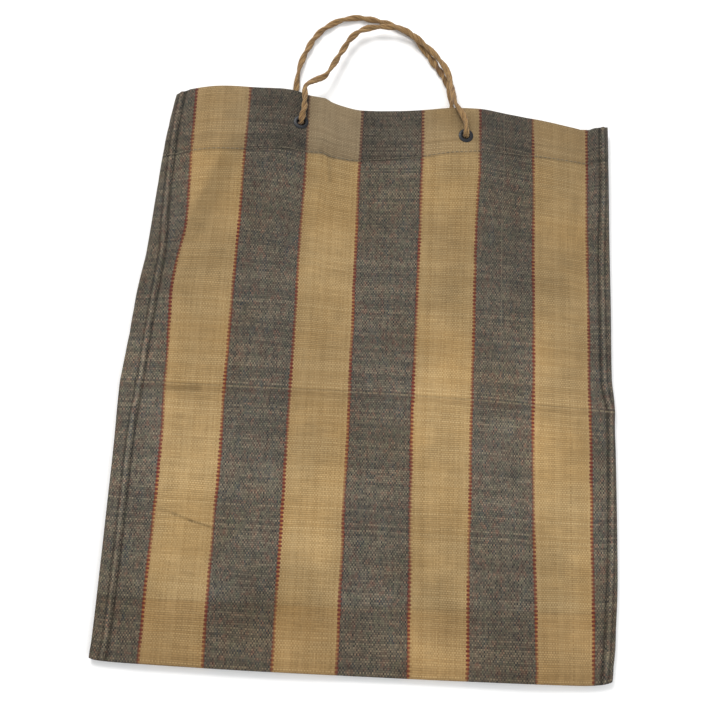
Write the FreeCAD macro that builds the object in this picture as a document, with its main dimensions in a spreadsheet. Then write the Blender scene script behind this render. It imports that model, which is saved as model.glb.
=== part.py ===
"""Foldable striped tote bag, lying flat on its back with the front panel up.

Frame: X runs across the bag, Y from the bottom edge towards the mouth and Z up from the surface it lies on.
The origin is at the middle of the bag's underside. Five bodies: the lower half, the upper back half, the upper
front half and the two cord handles. Every size below is in millimetres.
"""

import FreeCAD
import Part
import math
import os
import re
import Sketcher
from FreeCAD import Vector

doc = FreeCAD.newDocument("Tote")

# ---------------------------------------------------------------- driving dimensions
DIMENSIONS = {
    "bag_width": 406,
    "lower_length": 222,
    "upper_length": 260,
    "cloth": 1,
    "flat_depth": 8,  # outside depth of the folded bag
    "mouth_top": 20,  # height of the front hem, which stands on the knots
    "back_rise": 6.4,  # height of the back hem's underside, with its cords below it
    "hem_depth": 38,
    "ramp_length": 40,
    "gusset_depth": 45,
    "hinge_gap": 0.4,
    "facing_clear": 1,
    "thread_width": 0.6,
    "thread_height": 0.35,
    "seam_inset": 11,  # pinched side seam to the bag's side edge
    "eyelet_spacing": 144,
    "eyelet_inset": 25,  # eyelet centre to the mouth edge
    "back_shift": 12,  # back eyelets sit this far to the left of the front ones
    "flange_radius": 6.5,
    "flange_height": 0.8,
    "hole_radius": 3.1,
    "barrel_radius": 3.9,
    "cloth_hole_radius": 4,
    "cord_diameter": 5,
    "knot_radius": 5.4,
    "knot_height": 7.9,
    "knot_clear": 0.05,
    "cord_rest": 2.6,  # height of the centre of a cord that lies on the surface
    "cord_gap": 0.3,
}
# Worked out from the driving dimensions, as the sheet's own formulas.
DERIVED = {
    "bottom_edge": "-(lower_length + upper_length) / 2",
    "mouth_edge": "(lower_length + upper_length) / 2",
    "crease": "bottom_edge + lower_length",
    "half_width": "bag_width / 2",
    "hem_start": "mouth_edge - hem_depth",
    "ramp_end": "hem_start - facing_clear",
    "ramp_start": "ramp_end - ramp_length",
    "lower_end": "crease - hinge_gap / 2",
    "upper_start": "crease + hinge_gap / 2",
    "gusset_fold": "half_width - gusset_depth",
    "facing_half": "gusset_fold - facing_clear",
    "eyelet_line": "mouth_edge - eyelet_inset",
    "eyelet_half": "eyelet_spacing / 2",
    "grip_depth": "2 * cloth + flange_height",  # what an eyelet's barrel passes through
}

sheet = doc.addObject("Spreadsheet::Sheet", "Sizes")
for row, (alias, value) in enumerate(list(DIMENSIONS.items()) + list(DERIVED.items()), start=1):
    sheet.set(f"A{row}", alias)
    sheet.set(f"B{row}", str(value) if alias in DIMENSIONS else f"={value}")
    sheet.setAlias(f"B{row}", alias)
doc.recompute()


def size(alias):
    """One number from the sheet."""
    return float(sheet.get(alias))


def value_of(expression):
    """The present value of an expression on the sheet."""
    return float(sheet.evalExpression(expression))


def bound(expression):
    """An expression on the sheet, with each alias given its sheet's name."""
    return re.sub(r"[a-z_]+[a-z]", lambda word: "Sizes." + word.group(), expression)


pieces = []


def keep(piece, label):
    """Names a finished sub-part."""
    piece.Label = label
    pieces.append(piece)
    return piece


def place(piece, x="0", y="0", z="0"):
    """Binds a sub-part's place to the sheet."""
    for axis, expression in zip("xyz", (x, y, z)):
        piece.setExpression(f"Placement.Base.{axis}", bound(expression))


def plane(body, role):
    """One of a body's own origin planes."""
    return next(feature for feature in body.Origin.OriginFeatures if feature.Role == role)


def new_sketch(body, role, name):
    sketch = body.newObject("Sketcher::SketchObject", name)
    sketch.AttachmentSupport = [(plane(body, role), "")]
    sketch.MapMode = "FlatFace"
    return sketch


def bind_point(sketch, edge, vertex, across, up):
    """Holds one point of a sketch at two expressions from the sketch's origin."""
    for kind, expression in (("DistanceX", across), ("DistanceY", up)):
        index = sketch.addConstraint(Sketcher.Constraint(kind, -1, 1, edge, vertex, 1.0))
        sketch.setExpression(f"Constraints[{index}]", bound(expression))


def polygon(body, role, name, points):
    """A closed outline whose corners are pairs of expressions."""
    sketch = new_sketch(body, role, name)
    start = [Vector(value_of(across), value_of(up), 0) for across, up in points]
    count = len(points)
    for i in range(count):
        sketch.addGeometry(Part.LineSegment(start[i], start[(i + 1) % count]), False)
    for i in range(count):
        sketch.addConstraint(Sketcher.Constraint("Coincident", i, 2, (i + 1) % count, 1))
    for i, (across, up) in enumerate(points):
        bind_point(sketch, i, 1, across, up)
    return sketch


def pad(body, sketch, length, backwards=False):
    feature = body.newObject("PartDesign::Pad", "Pad")
    feature.Profile = sketch
    feature.Reversed = backwards
    feature.setExpression("Length", bound(length))
    return feature


def box(label, size_xyz, x, y, z):
    """A flat piece of cloth or thread."""
    piece = doc.addObject("Part::Box", label)
    for side, expression in zip(("Length", "Width", "Height"), size_xyz):
        piece.setExpression(side, bound(expression))
    place(piece, x, y, z)
    return keep(piece, label)


def pierce(body, centres, line, radius):
    """Cuts round holes right through a body, along Z."""
    sketch = new_sketch(body, "XY_Plane", "Holes")
    for i, centre in enumerate(centres):
        middle = Vector(value_of(centre), value_of(line), 0)
        sketch.addGeometry(Part.Circle(middle, Vector(0, 0, 1), 1), False)
        bind_point(sketch, i, 3, centre, line)
        index = sketch.addConstraint(Sketcher.Constraint("Radius", i, 1.0))
        sketch.setExpression(f"Constraints[{index}]", bound(radius))
    doc.recompute()
    before = body.Shape.Volume
    pocket = body.newObject("PartDesign::Pocket", "Pocket")
    pocket.Profile = sketch
    pocket.Type = "ThroughAll"
    pocket.Reversed = True
    doc.recompute()
    if body.Shape.Volume >= before:
        raise RuntimeError(f"{body.Name}: the holes cut nothing")


def bent_plate(label, x, width, low, high, thickness):
    """A layer of the upper half: level at low, up a ramp, and level at high as far as the mouth."""
    body = doc.addObject("PartDesign::Body", label)
    stations = [("upper_start", low), ("ramp_start", low), ("ramp_end", high), ("mouth_edge", high)]
    under = [(y, z) for y, z in stations]
    over = [(y, f"{z} + {thickness}") for y, z in reversed(stations)]
    pad(body, polygon(body, "YZ_Plane", "Profile", under + over), width)
    place(body, x=x)
    return keep(body, label)


# ---------------------------------------------------------------- lower half
LOWER_RUN = "lower_end - bottom_edge"
box("back_panel_lower", ("bag_width", LOWER_RUN, "cloth"), "-half_width", "bottom_edge", "0")
box("front_panel_lower", ("bag_width", LOWER_RUN, "cloth"), "-half_width", "bottom_edge", "flat_depth - cloth")

MIDDLE = "flat_depth / 2"


def tuck(outer, inner, inward):
    """The section of a layer folded in between the two panels: a V whose point is the inner fold."""
    notch = f"{inner} - {inward} * 2.5 * cloth"
    return [
        (outer, "cloth"),
        (inner, f"{MIDDLE} - 0.6 * cloth"),
        (inner, f"{MIDDLE} + 0.6 * cloth"),
        (outer, "flat_depth - cloth"),
        (outer, "flat_depth - 2 * cloth"),
        (notch, MIDDLE),
        (outer, "2 * cloth"),
    ]


for side, outer, inner, inward in (
    ("left", "-half_width", "-gusset_fold", 1),
    ("right", "half_width", "gusset_fold", -1),
):
    gusset = doc.addObject("PartDesign::Body", f"{side}_gusset_lower")
    pad(gusset, polygon(gusset, "XZ_Plane", "Profile", tuck(outer, inner, inward)), LOWER_RUN)
    place(gusset, y="lower_end")
    keep(gusset, f"{side}_gusset_lower")

bottom = doc.addObject("PartDesign::Body", "bottom_gusset")
pad(
    bottom,
    polygon(bottom, "YZ_Plane", "Profile", tuck("bottom_edge", "bottom_edge + gusset_depth", 1)),
    "2 * facing_half",
)
place(bottom, x="-facing_half")
keep(bottom, "bottom_gusset")

# ---------------------------------------------------------------- upper half, back and front
BACK_EYELETS = {"left": "-eyelet_half - back_shift", "right": "eyelet_half - back_shift"}
FRONT_EYELETS = {"left": "-eyelet_half", "right": "eyelet_half"}

back_panel = bent_plate("back_panel_upper", "-half_width", "bag_width", "0", "back_rise", "cloth")
pierce(back_panel, [f"{x} + half_width" for x in BACK_EYELETS.values()], "eyelet_line", "cloth_hole_radius")
front_panel = bent_plate(
    "front_panel_upper", "-half_width", "bag_width", "flat_depth - cloth", "mouth_top - cloth", "cloth"
)
pierce(front_panel, [f"{x} + half_width" for x in FRONT_EYELETS.values()], "eyelet_line", "cloth_hole_radius")

for side, start in (("left", "-half_width"), ("right", "gusset_fold")):
    bent_plate(f"{side}_gusset_back", start, "gusset_depth", "cloth", "back_rise + cloth", "cloth")
    bent_plate(
        f"{side}_gusset_front", start, "gusset_depth", "flat_depth - 2 * cloth", "mouth_top - 2 * cloth", "cloth"
    )

for label, level, eyelets in (
    ("back_hem_facing", "back_rise + cloth", BACK_EYELETS),
    ("front_hem_facing", "mouth_top - 2 * cloth", FRONT_EYELETS),
):
    facing = doc.addObject("PartDesign::Body", label)
    corners = [
        ("-facing_half", "hem_start"),
        ("facing_half", "hem_start"),
        ("facing_half", "mouth_edge"),
        ("-facing_half", "mouth_edge"),
    ]
    pad(facing, polygon(facing, "XY_Plane", "Profile", corners), "cloth")
    pierce(facing, list(eyelets.values()), "eyelet_line", "cloth_hole_radius")
    place(facing, z=level)
    keep(facing, label)

# ---------------------------------------------------------------- stitching
SEAM = "half_width - seam_inset"
HEM_THREAD = ("2 * (half_width - seam_inset - 2 * thread_width)", "thread_width", "thread_height")
HEM_THREAD_START = "-(half_width - seam_inset - 2 * thread_width)"
box("front_hem_thread", HEM_THREAD, HEM_THREAD_START, "hem_start + cloth", "mouth_top")
box("back_hem_thread", HEM_THREAD, HEM_THREAD_START, "hem_start + cloth", "back_rise - thread_height")
for side, x in (("left", f"-({SEAM})"), ("right", f"{SEAM} - thread_width")):
    box(f"{side}_seam_thread_lower", ("thread_width", LOWER_RUN, "thread_height"), x, "bottom_edge", "flat_depth")
    bent_plate(f"{side}_seam_thread_upper", x, "thread_width", "flat_depth", "mouth_top", "thread_height")


# ---------------------------------------------------------------- eyelets and washers
def turned(label, outline, x, z, flipped=False):
    """A round piece on an eyelet's axis. A flipped one has its outer face down."""
    body = doc.addObject("PartDesign::Body", label)
    profile = polygon(body, "XZ_Plane", "Profile", outline)
    turn = body.newObject("PartDesign::Revolution", "Revolution")
    turn.Profile = profile
    turn.ReferenceAxis = (profile, ["V_Axis"])
    turn.Angle = 360
    if flipped:
        body.Placement = FreeCAD.Placement(Vector(0, 0, 0), FreeCAD.Rotation(Vector(1, 0, 0), 180))
    place(body, x, "eyelet_line", z)
    return keep(body, label)


EYELET = [
    ("hole_radius", "-grip_depth"),
    ("barrel_radius", "-grip_depth"),
    ("barrel_radius", "0"),
    ("flange_radius", "0"),
    ("flange_radius", "flange_height / 2"),
    ("flange_radius - flange_height", "flange_height"),
    ("hole_radius + flange_height", "flange_height"),
    ("hole_radius", "flange_height / 2"),
]
WASHER = [
    ("barrel_radius", "-grip_depth"),
    ("flange_radius", "-grip_depth"),
    ("flange_radius", "-2 * cloth"),
    ("barrel_radius", "-2 * cloth"),
]
for side in ("left", "right"):
    for layer, eyelets, level, flipped in (
        ("front", FRONT_EYELETS, "mouth_top", False),
        ("back", BACK_EYELETS, "back_rise", True),
    ):
        turned(f"{layer}_{side}_eyelet", EYELET, eyelets[side], level, flipped)
        turned(f"{layer}_{side}_washer", WASHER, eyelets[side], level, flipped)


# ---------------------------------------------------------------- cord handles
# A handle is one twisted cord. Its two ends pass through the eyelets and are knotted inside the bag. The routes
# below are the handles' centrelines from hinge to hinge.
FRONT_ROUTE = [
    (-72, 216, 23.6),
    (-71, 234, 24.6),
    (-68, 253, 19),
    (-53, 269, 12.5),
    (-42, 291, 9.5),
    (-27, 316, 8.6),
    (-4, 329, 8.6),
    (20, 327, 8.4),
    (39, 311, 7.6),
    (53.5, 291, 7.6),
    (61.5, 268, 13),
    (65.5, 243, 24),
    (72, 216, 23.6),
]
BACK_ROUTE = [
    (-81, 245, 2.6),
    (-77, 266, 2.6),
    (-74, 290, 2.6),
    (-61, 315, 2.6),
    (-40, 333, 2.6),
    (-13, 338, 2.6),
    (12, 330, 2.6),
    (31, 312, 2.6),
    (47, 291, 2.6),
    (57, 268, 2.6),
    (61, 245, 2.6),
]
BEND_SHARE = 0.45


def routed_wire(points, label):
    """Straight runs joined by tangent arcs, each as large as its two runs allow."""
    edges = []
    radii = []
    last = points[0]
    for before, corner, after in zip(points, points[1:], points[2:]):
        into = (corner - before).normalize()
        out = (after - corner).normalize()
        half_turn = into.getAngle(out) / 2
        reach = BEND_SHARE * min(before.distanceToPoint(corner), corner.distanceToPoint(after))
        radius = reach / math.tan(half_turn)
        start = corner - into * reach
        end = corner + out * reach
        inward = (out - into).normalize()
        centre = corner + inward * (radius / math.cos(half_turn))
        edges.append(Part.LineSegment(last, start).toShape())
        edges.append(Part.Arc(start, centre - inward * radius, end).toShape())
        radii.append(radius)
        last = end
    edges.append(Part.LineSegment(last, points[-1]).toShape())
    print(label, "bend radii:", " ".join(f"{r:.0f}" for r in radii))
    return Part.Wire(edges)


def cord_tube(points, label):
    """A round cord along a route."""
    radius = size("cord_diameter") / 2
    path = routed_wire(points, label)
    section = Part.Wire([Part.Circle(points[0], points[1] - points[0], radius).toShape()])
    tube = path.makePipeShell([section], True, False)
    share = tube.Volume / (math.pi * radius**2 * path.Length)
    print(f"{label}: length {path.Length:.1f} mm, volume over section times length {share:.3f}")
    return tube


def half_ball(centre, outward):
    return Part.makeSphere(size("cord_diameter") / 2, centre, outward, 0, 90, 360)


def computed(label, shape):
    """A sub-part whose shape is worked out here."""
    piece = doc.addObject("Part::Feature", label)
    piece.Shape = shape
    piece.Placement = FreeCAD.Placement()
    return keep(piece, label)


for label, route in (("front_handle_cord", FRONT_ROUTE), ("back_handle_cord", BACK_ROUTE)):
    points = [Vector(*point) for point in route]
    ends = [
        half_ball(points[0], points[0] - points[1]),
        half_ball(points[-1], points[-1] - points[-2]),
    ]
    computed(label, cord_tube(points, label).fuse(ends))

# The knotted ends. A knot bears on its washer, and the cord goes on from it through the eyelet.
KNOT_TOP = "-(grip_depth + knot_clear)"
KNOT_BOTTOM = f"{KNOT_TOP} - knot_height"


KNOT = [
    ("0", KNOT_BOTTOM),
    ("knot_radius - 2 * cloth", KNOT_BOTTOM),
    ("knot_radius", f"{KNOT_BOTTOM} + 2 * cloth"),
    ("knot_radius", f"{KNOT_TOP} - 2 * cloth"),
    ("knot_radius - 2 * cloth", KNOT_TOP),
]
STEM = [
    ("cord_diameter / 2", KNOT_TOP),
    ("cord_diameter / 2", "flange_height"),
    ("0", "flange_height"),
]
for side in ("left", "right"):
    turned(f"front_{side}_cord_end", KNOT + STEM, FRONT_EYELETS[side], "mouth_top")

for side, hinge in (("left", BACK_ROUTE[0]), ("right", BACK_ROUTE[-1])):
    knot = turned(f"back_{side}_knot", KNOT + [("0", KNOT_TOP)], BACK_EYELETS[side], "back_rise", True)
    pieces.remove(knot)
    doc.recompute()
    centre = Vector(value_of(BACK_EYELETS[side]), size("eyelet_line"), 0)
    top = Vector(centre.x, centre.y, size("back_rise") + size("grip_depth") + size("knot_clear"))
    turn = Vector(centre.x, centre.y, size("cord_rest"))
    away = (Vector(*hinge) - turn).normalize()
    end = Vector(*hinge) - away * (size("cord_diameter") / 2 + size("cord_gap"))
    stem = cord_tube([top, turn, end], f"back_{side}_cord_end")
    computed(f"back_{side}_cord_end", knot.Shape.fuse(stem))


# ---------------------------------------------------------------- test and write
doc.recompute()
for thing in doc.Objects:
    if "Invalid" in thing.State or "Error" in thing.State:
        raise RuntimeError(f"{thing.Name} did not recompute: {thing.State}")
for piece in pieces:
    if piece.Shape.isNull() or not piece.Shape.isValid() or len(piece.Shape.Solids) != 1:
        raise RuntimeError(f"{piece.Label} is not one valid solid")

os.makedirs("parts", exist_ok=True)
for piece in pieces:
    piece.Shape.exportStep(f"parts/{piece.Label}.step")
print(len(pieces), "sub-parts written")
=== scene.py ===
"""A striped, gusseted cloth tote bag lying flat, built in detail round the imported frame."""
from math import cos, exp, hypot, pi, radians, sin

import bpy
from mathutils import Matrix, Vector, noise


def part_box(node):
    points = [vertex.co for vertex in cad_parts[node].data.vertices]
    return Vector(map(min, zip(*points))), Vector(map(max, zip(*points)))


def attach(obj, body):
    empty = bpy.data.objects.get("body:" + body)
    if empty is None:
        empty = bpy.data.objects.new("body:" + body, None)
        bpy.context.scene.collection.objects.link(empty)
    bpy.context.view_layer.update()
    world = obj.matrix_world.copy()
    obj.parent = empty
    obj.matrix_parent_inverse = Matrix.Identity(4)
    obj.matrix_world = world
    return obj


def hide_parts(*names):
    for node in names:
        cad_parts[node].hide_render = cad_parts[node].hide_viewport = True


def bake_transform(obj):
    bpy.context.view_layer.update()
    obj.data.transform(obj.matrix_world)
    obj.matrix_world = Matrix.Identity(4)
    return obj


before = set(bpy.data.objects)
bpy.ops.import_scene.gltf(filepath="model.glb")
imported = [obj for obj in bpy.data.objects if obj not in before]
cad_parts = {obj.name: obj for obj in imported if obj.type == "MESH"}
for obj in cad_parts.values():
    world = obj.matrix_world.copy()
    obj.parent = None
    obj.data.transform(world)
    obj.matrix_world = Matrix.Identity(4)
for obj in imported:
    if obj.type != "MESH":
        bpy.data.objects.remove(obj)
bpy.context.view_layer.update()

MM = 0.001

# ---- places taken from the frame
LOWER_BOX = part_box("front_panel_lower")
UPPER_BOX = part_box("front_panel_upper")
BACK_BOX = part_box("back_panel_upper")
HALF_WIDTH = LOWER_BOX[1][0]
BOTTOM, MOUTH = LOWER_BOX[0][1], UPPER_BOX[1][1]
CREASE = (LOWER_BOX[1][1] + UPPER_BOX[0][1]) / 2
FLAT_TOP, MOUTH_TOP = LOWER_BOX[1][2], UPPER_BOX[1][2]
CLOTH = 0.7 * MM
BACK_MOUTH = BACK_BOX[1][2] - 1.0 * MM


def middle(node):
    low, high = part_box(node)
    return Vector([(a + b) / 2 for a, b in zip(low, high)])


SIDES = ("left", "right")
EYELETS = {
    (layer, side): middle(f"{layer}_{side}_eyelet")
    for layer in ("front", "back")
    for side in SIDES
}
EYELET_LINE = EYELETS["front", "left"].y

# ---- camera
camera = bpy.data.objects.new("camera", bpy.data.cameras.new("camera"))
bpy.context.scene.collection.objects.link(camera)
camera.location = (-0.0798, -0.2502, 0.8730)
camera.rotation_euler = [radians(a) for a in (16.44, -5.26, 2.42)]
camera.data.sensor_width = 36
camera.data.lens = 55
camera.data.clip_start = 0.05
bpy.context.scene.camera = camera


# ---- small tools
def clamp(value, low=0.0, high=1.0):
    return max(low, min(high, value))


def smooth(low, high, value):
    k = clamp((value - low) / (high - low))
    return k * k * (3 - 2 * k)


def hump(value, centre, width):
    return exp(-(((value - centre) / width) ** 2))


def uneven(x, y, z):
    """A smooth random value about 0, the same on each run."""
    return noise.noise(Vector((x, y, z)))


def through(stations, at):
    """A smooth curve through (place, value) stations, read at one place."""
    if at <= stations[0][0]:
        return stations[0][1]
    for i in range(len(stations) - 1):
        (x0, y0), (x1, y1) = stations[i], stations[i + 1]
        if at <= x1:
            before = stations[max(i - 1, 0)]
            after = stations[min(i + 2, len(stations) - 1)]
            run = x1 - x0
            slope0 = (y1 - before[1]) / (x1 - before[0]) * run
            slope1 = (after[1] - y0) / (after[0] - x0) * run
            k = (at - x0) / run
            return (
                (2 * k**3 - 3 * k**2 + 1) * y0
                + (k**3 - 2 * k**2 + k) * slope0
                + (3 * k**2 - 2 * k**3) * y1
                + (k**3 - k**2) * slope1
            )
    return stations[-1][1]


def in_metres(stations):
    return [(a * MM, b * MM) for a, b in stations]


def new_object(name, data):
    obj = bpy.data.objects.new(name, data)
    bpy.context.scene.collection.objects.link(obj)
    return obj


def mesh_object(name, vertices, faces, uvs=None, seams=None):
    """A mesh piece. uvs gives one pair for each vertex, and seams its distance past a seam, in metres."""
    mesh = bpy.data.meshes.new(name)
    mesh.from_pydata(vertices, [], faces)
    if uvs is not None:
        layer = mesh.uv_layers.new(name="cloth")
        for loop in mesh.loops:
            layer.data[loop.index].uv = uvs[loop.vertex_index]
    if seams is not None:
        layer = mesh.uv_layers.new(name="seam")
        for loop in mesh.loops:
            layer.data[loop.index].uv = (seams[loop.vertex_index], 0)
    for polygon in mesh.polygons:
        polygon.use_smooth = True
    mesh.update()
    return new_object(name, mesh)


def grid(name, columns, rows, point, skip=None):
    """A sheet of quads. point(column, row) gives a place, its uv and its distance past a seam;
    skip(place) leaves a face out."""
    vertices, uvs, seams = [], [], []
    for row in rows:
        for column in columns:
            place, uv, seam = point(column, row)
            vertices.append(place)
            uvs.append(uv)
            seams.append(seam)
    wide = len(columns)
    faces = []
    for j in range(len(rows) - 1):
        for i in range(wide - 1):
            corners = (j * wide + i, j * wide + i + 1, (j + 1) * wide + i + 1, (j + 1) * wide + i)
            centre = sum((Vector(vertices[k]) for k in corners), Vector()) / 4
            if skip is None or not skip(centre):
                faces.append(corners)
    return mesh_object(name, vertices, faces, uvs, seams)


def stand_for(nodes):
    """Hides the frame's plain nodes that a detailed piece stands in for."""
    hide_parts(*nodes)


def steps(low, high, pitch):
    count = max(1, round((high - low) / pitch))
    return [low + (high - low) * i / count for i in range(count + 1)]


def thicken(obj):
    solid = obj.modifiers.new("thickness", "SOLIDIFY")
    solid.thickness = CLOTH
    solid.offset = 0.0


def ring_place(across, up, angle):
    """A unit step out from a line, at an angle between its two cross directions."""
    return across * cos(angle) + up * sin(angle)


def close_tube(faces, first, rings, sides):
    """Faces of a closed tube whose rings of vertices start at first."""
    for i in range(rings - 1):
        for k in range(sides):
            a = first + i * sides + k
            b = first + i * sides + (k + 1) % sides
            faces.append((a, b, b + sides, a + sides))
    faces.append(tuple(first + k for k in reversed(range(sides))))
    faces.append(tuple(first + (rings - 1) * sides + k for k in range(sides)))


# ---- node graphs
class Graph:
    """A material's node tree, built by calls that return sockets."""

    def __init__(self, name, roughness, **constants):
        self.material = bpy.data.materials.new(name)
        self.material.use_nodes = True
        self.tree = self.material.node_tree
        self.shader = self.tree.nodes["Principled BSDF"]
        self.shader.inputs["Roughness"].default_value = roughness
        for socket, value in constants.items():
            self.shader.inputs[socket.replace("_", " ")].default_value = value

    def put(self, socket, value):
        if isinstance(value, bpy.types.NodeSocket):
            self.tree.links.new(value, socket)
        else:
            socket.default_value = value

    def math(self, operation, *values, limit=False):
        node = self.tree.nodes.new("ShaderNodeMath")
        node.operation = operation
        node.use_clamp = limit
        for socket, value in zip(node.inputs, values):
            self.put(socket, value)
        return node.outputs[0]

    def plus(self, first, second):
        return self.math("ADD", first, second)

    def minus(self, first, second):
        return self.math("SUBTRACT", first, second)

    def times(self, first, second):
        return self.math("MULTIPLY", first, second)

    def line(self, value, slope, base, limit=False):
        """value times slope, plus base."""
        return self.math("MULTIPLY_ADD", value, slope, base, limit=limit)

    def mix(self, share, first, second, blend="MIX"):
        node = self.tree.nodes.new("ShaderNodeMix")
        node.data_type = "RGBA"
        node.blend_type = blend
        self.put(node.inputs[0], share)
        self.put(node.inputs[6], first if isinstance(first, bpy.types.NodeSocket) else (*first, 1))
        self.put(node.inputs[7], second if isinstance(second, bpy.types.NodeSocket) else (*second, 1))
        return node.outputs[2]

    def uv(self, layer="cloth"):
        node = self.tree.nodes.new("ShaderNodeUVMap")
        node.uv_map = layer
        split = self.tree.nodes.new("ShaderNodeSeparateXYZ")
        self.tree.links.new(node.outputs[0], split.inputs[0])
        return split.outputs[0], split.outputs[1]

    def place(self):
        return self.tree.nodes.new("ShaderNodeTexCoord").outputs["Object"]

    def vector(self, x, y, z=0.0):
        node = self.tree.nodes.new("ShaderNodeCombineXYZ")
        for socket, value in zip(node.inputs, (x, y, z)):
            self.put(socket, value)
        return node.outputs[0]

    def noise(self, vector, scale, detail=2.0, roughness=0.5):
        node = self.tree.nodes.new("ShaderNodeTexNoise")
        self.put(node.inputs["Vector"], vector)
        node.inputs["Scale"].default_value = scale
        node.inputs["Detail"].default_value = detail
        node.inputs["Roughness"].default_value = roughness
        return node.outputs[0]

    def random(self, x, y=0.0):
        """One number from 0 to 1 for each whole x and y."""
        node = self.tree.nodes.new("ShaderNodeTexWhiteNoise")
        node.noise_dimensions = "2D"
        self.tree.links.new(self.vector(x, y), node.inputs["Vector"])
        return node.outputs[0]

    def range(self, value, from_low, from_high, to_low=0.0, to_high=1.0):
        node = self.tree.nodes.new("ShaderNodeMapRange")
        node.interpolation_type = "SMOOTHSTEP"
        for socket, number in zip(node.inputs, (value, from_low, from_high, to_low, to_high)):
            self.put(socket, number)
        return node.outputs[0]

    def band(self, value, centre, half, soft):
        """1 within half of the centre, fading to 0 over soft."""
        away = self.math("ABSOLUTE", self.minus(value, centre))
        return self.range(away, half, half + soft, 1.0, 0.0)

    def from_line(self, u, v, start, end):
        """Distance from a line between two places on the cloth."""
        run = Vector(end) - Vector(start)
        du = self.minus(u, start[0])
        dv = self.minus(v, start[1])
        dot = self.plus(self.times(du, run.x), self.times(dv, run.y))
        share = self.math("DIVIDE", dot, run.length_squared, limit=True)
        off_u = self.minus(du, self.times(share, run.x))
        off_v = self.minus(dv, self.times(share, run.y))
        squares = self.plus(self.times(off_u, off_u), self.times(off_v, off_v))
        return self.math("SQRT", squares)

    def shaded(self, tone, mask, amount):
        """tone, darker by amount where the mask is 1. A negative amount lightens."""
        return self.times(tone, self.line(mask, -amount, 1.0))

    def scaled(self, colour, factor):
        node = self.tree.nodes.new("ShaderNodeVectorMath")
        node.operation = "SCALE"
        self.put(node.inputs[0], colour)
        self.put(node.inputs["Scale"], factor)
        return node.outputs[0]

    def finish(self, colour, height=None, depth=0.0, strength=1.0, roughness=None):
        self.put(self.shader.inputs["Base Color"], colour)
        if roughness is not None:
            self.put(self.shader.inputs["Roughness"], roughness)
        if height is not None:
            bump = self.tree.nodes.new("ShaderNodeBump")
            bump.inputs["Strength"].default_value = strength
            bump.inputs["Distance"].default_value = depth
            self.tree.links.new(height, bump.inputs["Height"])
            self.tree.links.new(bump.outputs[0], self.shader.inputs["Normal"])
        return self.material


def linear(red, green, blue):
    """Screen values from 0 to 255 as the shader's linear colour."""
    shares = [value / 255 for value in (red, green, blue)]
    return tuple(c / 12.92 if c <= 0.04045 else ((c + 0.055) / 1.055) ** 2.4 for c in shares)


# ---- materials
# Sizes of the cloth's pattern, in millimetres across and up the flat cloth.
STRIPE_REPEAT = 100.0
DARK_STRIPE = 52.0
FIRST_BORDER = 37.0
WARP_PITCH = 1.12
WEFT_PITCH = 1.65
HEM_LOW, HEM_BASE, HEM_SLOPE = 423.5, 417.0, 0.083
TUCK_BASE, TUCK_SLOPE = 48.0, 0.018
CREASE_UP = (CREASE - BOTTOM) / MM
# Painted shade in the hollows beside the pinched seam's ridge and a painted highlight on the ridge: place,
# half width, softness and how dark (the negative amount is the highlight).
SEAM_PAINTED_SHADE_AND_HIGHLIGHT = [(-2.4, 0.4, 1.8, 0.52), (0.7, 0.4, 0.9, -0.38), (3.1, 0.3, 1.1, 0.40)]
# Dark marks and painted shade: two ends, half width, softness and how dark. The first three are painted shade
# along an old fold crease, the fourth the painted shade of a soft wrinkle, and the one at 218 a painted
# shadow just under the mid crease; the rest are small brown marks and broad darker patches.
MARKS_AND_PAINTED_SHADE = [
    ((41, 119), (54, 115), 0.5, 2.0, 0.14),
    ((52, 116), (68, 110.5), 0.4, 1.4, 0.24),
    ((66, 111), (86, 106), 0.3, 1.2, 0.34),
    ((42, 350), (77, 428), 4.0, 11.0, 0.20),
    ((148, 433), (161, 430), 0.5, 2.0, 0.16),
    ((157, 430), (160, 410), 0.5, 2.5, 0.18),
    ((375, 414), (371, 380), 1.5, 5.0, 0.12),
    ((40, 218), (64, 219.5), 0.8, 4.0, 0.22),
    ((240, 470), (300, 455), 6.0, 22.0, 0.10),
    ((140, 60), (185, 20), 10.0, 25.0, 0.14),
    ((240, 75), (262, 40), 8.0, 24.0, 0.12),
]


def hem_line(across):
    """Height of the hem's stitch line up the cloth, in millimetres."""
    return max(HEM_LOW, HEM_BASE + HEM_SLOPE * across)


def weave(g, across, along):
    """Which yarn is on top at a place, how high it stands, and the gaps between the yarns."""
    warp = g.math("DIVIDE", across, WARP_PITCH)
    weft = g.math("DIVIDE", along, WEFT_PITCH)
    warp_number, weft_number = g.math("FLOOR", warp), g.math("FLOOR", weft)
    weft_on_top = g.math("PINGPONG", g.plus(warp_number, weft_number), 1.0)
    warp_arch = g.math("SINE", g.times(g.math("FRACT", warp), pi))
    weft_arch = g.math("SINE", g.times(g.math("FRACT", weft), pi))
    lifted = g.times(g.math("POWER", weft_arch, 0.6), g.line(warp_arch, 0.45, 0.55))
    laid = g.times(g.math("POWER", warp_arch, 0.6), g.line(weft_arch, 0.45, 0.55))
    height = g.plus(g.times(weft_on_top, lifted), g.times(g.minus(1.0, weft_on_top), laid))
    return warp_number, weft_number, weft_on_top, warp_arch, weft_arch, height


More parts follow.
